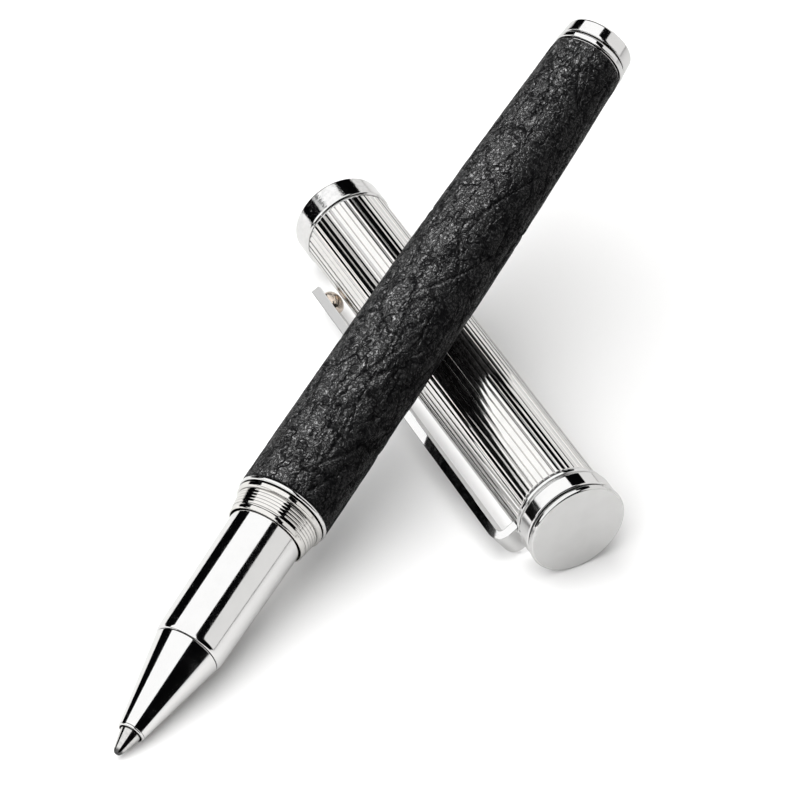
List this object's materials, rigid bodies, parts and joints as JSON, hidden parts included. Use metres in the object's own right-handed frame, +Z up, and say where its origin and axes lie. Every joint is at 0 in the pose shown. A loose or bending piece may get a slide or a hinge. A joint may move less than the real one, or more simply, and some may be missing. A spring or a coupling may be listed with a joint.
{
  "type": "rollerball pen with cap",
  "caption": "Open rollerball pen with a grained leather barrel and a polished grip, leaning on its fluted metal screw cap with a sprung flat clip.",
  "frame": {"origin": "on the table plane, under the centre of the whole object's bounding box", "axes": "+Z up; +Y along the cap from its crown to its mouth; +X towards the pen's raised rear end; -Y is the front"},
  "size_m": [0.104, 0.0696, 0.0339],
  "materials": {
    "cap_crown_disc": "satin silver plate",
    "cap_crown_band": "mirror polish",
    "cap_top_ring": "mirror polish",
    "cap_top_plug": "turned",
    "cap_tube": "polished, fine lengthwise flutes",
    "cap_inner_liner": "moulded",
    "cap_mouth_ring": "mirror polish",
    "clip_pin": "ground",
    "clip_spring": "drawn wire",
    "clip_arm": "mirror polish",
    "clip_pad": "mirror polish",
    "nose_cone": "mirror polish",
    "grip_section": "mirror polish",
    "section_thread_bush": "turned",
    "tip_ball": "ground carbide",
    "refill_tip": "satin nickel silver",
    "refill_holder": "moulded",
    "refill_tube": "satin",
    "refill_wick": "ink-soaked fibre",
    "refill_reservoir": "ink-soaked fibre",
    "refill_end_plug": "moulded",
    "spring_washer": "pressed",
    "rear_spring": "drawn wire",
    "thread_collar": "bright turned thread",
    "collar_trim_ring": "mirror polish",
    "leather_sleeve": "black grained leather with creases",
    "barrel_tube": "drawn",
    "rear_trim_ring": "mirror polish",
    "barrel_end_plug": "turned",
    "barrel_end_cap": "mirror polish"
  },
  "bodies": {
    "cap": {"cap_crown_disc": "cap_crown_disc", "cap_crown_band": "cap_crown_band", "cap_top_ring": "cap_top_ring", "cap_top_plug": "cap_top_plug", "cap_tube": "cap_tube", "cap_inner_liner": "cap_inner_liner", "cap_mouth_ring": "cap_mouth_ring", "clip_pin": "clip_pin", "clip_spring": "clip_spring"},
    "clip": {"clip_arm": "clip_arm", "clip_pad": "clip_pad"},
    "front": {"nose_cone": "nose_cone", "grip_section": "grip_section", "section_thread_bush": "section_thread_bush"},
    "refill": {"tip_ball": "tip_ball", "refill_tip": "refill_tip", "refill_holder": "refill_holder", "refill_tube": "refill_tube", "refill_wick": "refill_wick", "refill_reservoir": "refill_reservoir", "refill_end_plug": "refill_end_plug"},
    "washer": {"spring_washer": "spring_washer"},
    "spring": {"rear_spring": "rear_spring"},
    "barrel": {"thread_collar": "thread_collar", "collar_trim_ring": "collar_trim_ring", "leather_sleeve": "leather_sleeve", "barrel_tube": "barrel_tube", "rear_trim_ring": "rear_trim_ring", "barrel_end_plug": "barrel_end_plug", "barrel_end_cap": "barrel_end_cap"}
  },
  "joints": [
    {"name": "clip_open", "type": "hinge", "parent": "cap", "child": "clip", "pos_m": [0.01112, -0.02567, 0.00438], "axis": [-0.5446, 0, 0.8387], "range_deg": [0, 4], "stiffness_Nm_per_rad": 0.5, "springref_deg": -1.15},
    {"name": "pen_lift", "type": "slide", "parent": "cap", "child": "front", "axis": [0, 0, 1], "range_m": [0, 0.06]},
    {"name": "refill_draw", "type": "slide", "parent": "front", "child": "refill", "axis": [0.8328, 0.5024, 0.2326], "range_m": [0, 0.05]},
    {"name": "barrel_pull", "type": "slide", "parent": "refill", "child": "washer", "axis": [0.8328, 0.5024, 0.2326], "range_m": [0, 0.08]},
    {"name": "barrel_travel", "type": "slide", "parent": "washer", "child": "spring", "axis": [0.8328, 0.5024, 0.2326], "range_m": [0, 0.006]},
    {"name": "barrel_unscrew", "type": "hinge", "parent": "spring", "child": "barrel", "pos_m": [-0.00189, -0.00441, 0.015], "axis": [0.8328, 0.5024, 0.2326], "range_deg": [0, 1800]}
  ],
  "couplings": [
    {"joint": "barrel_travel", "follows": "barrel_unscrew", "m_per_rad": 0.00015915}
  ]
}
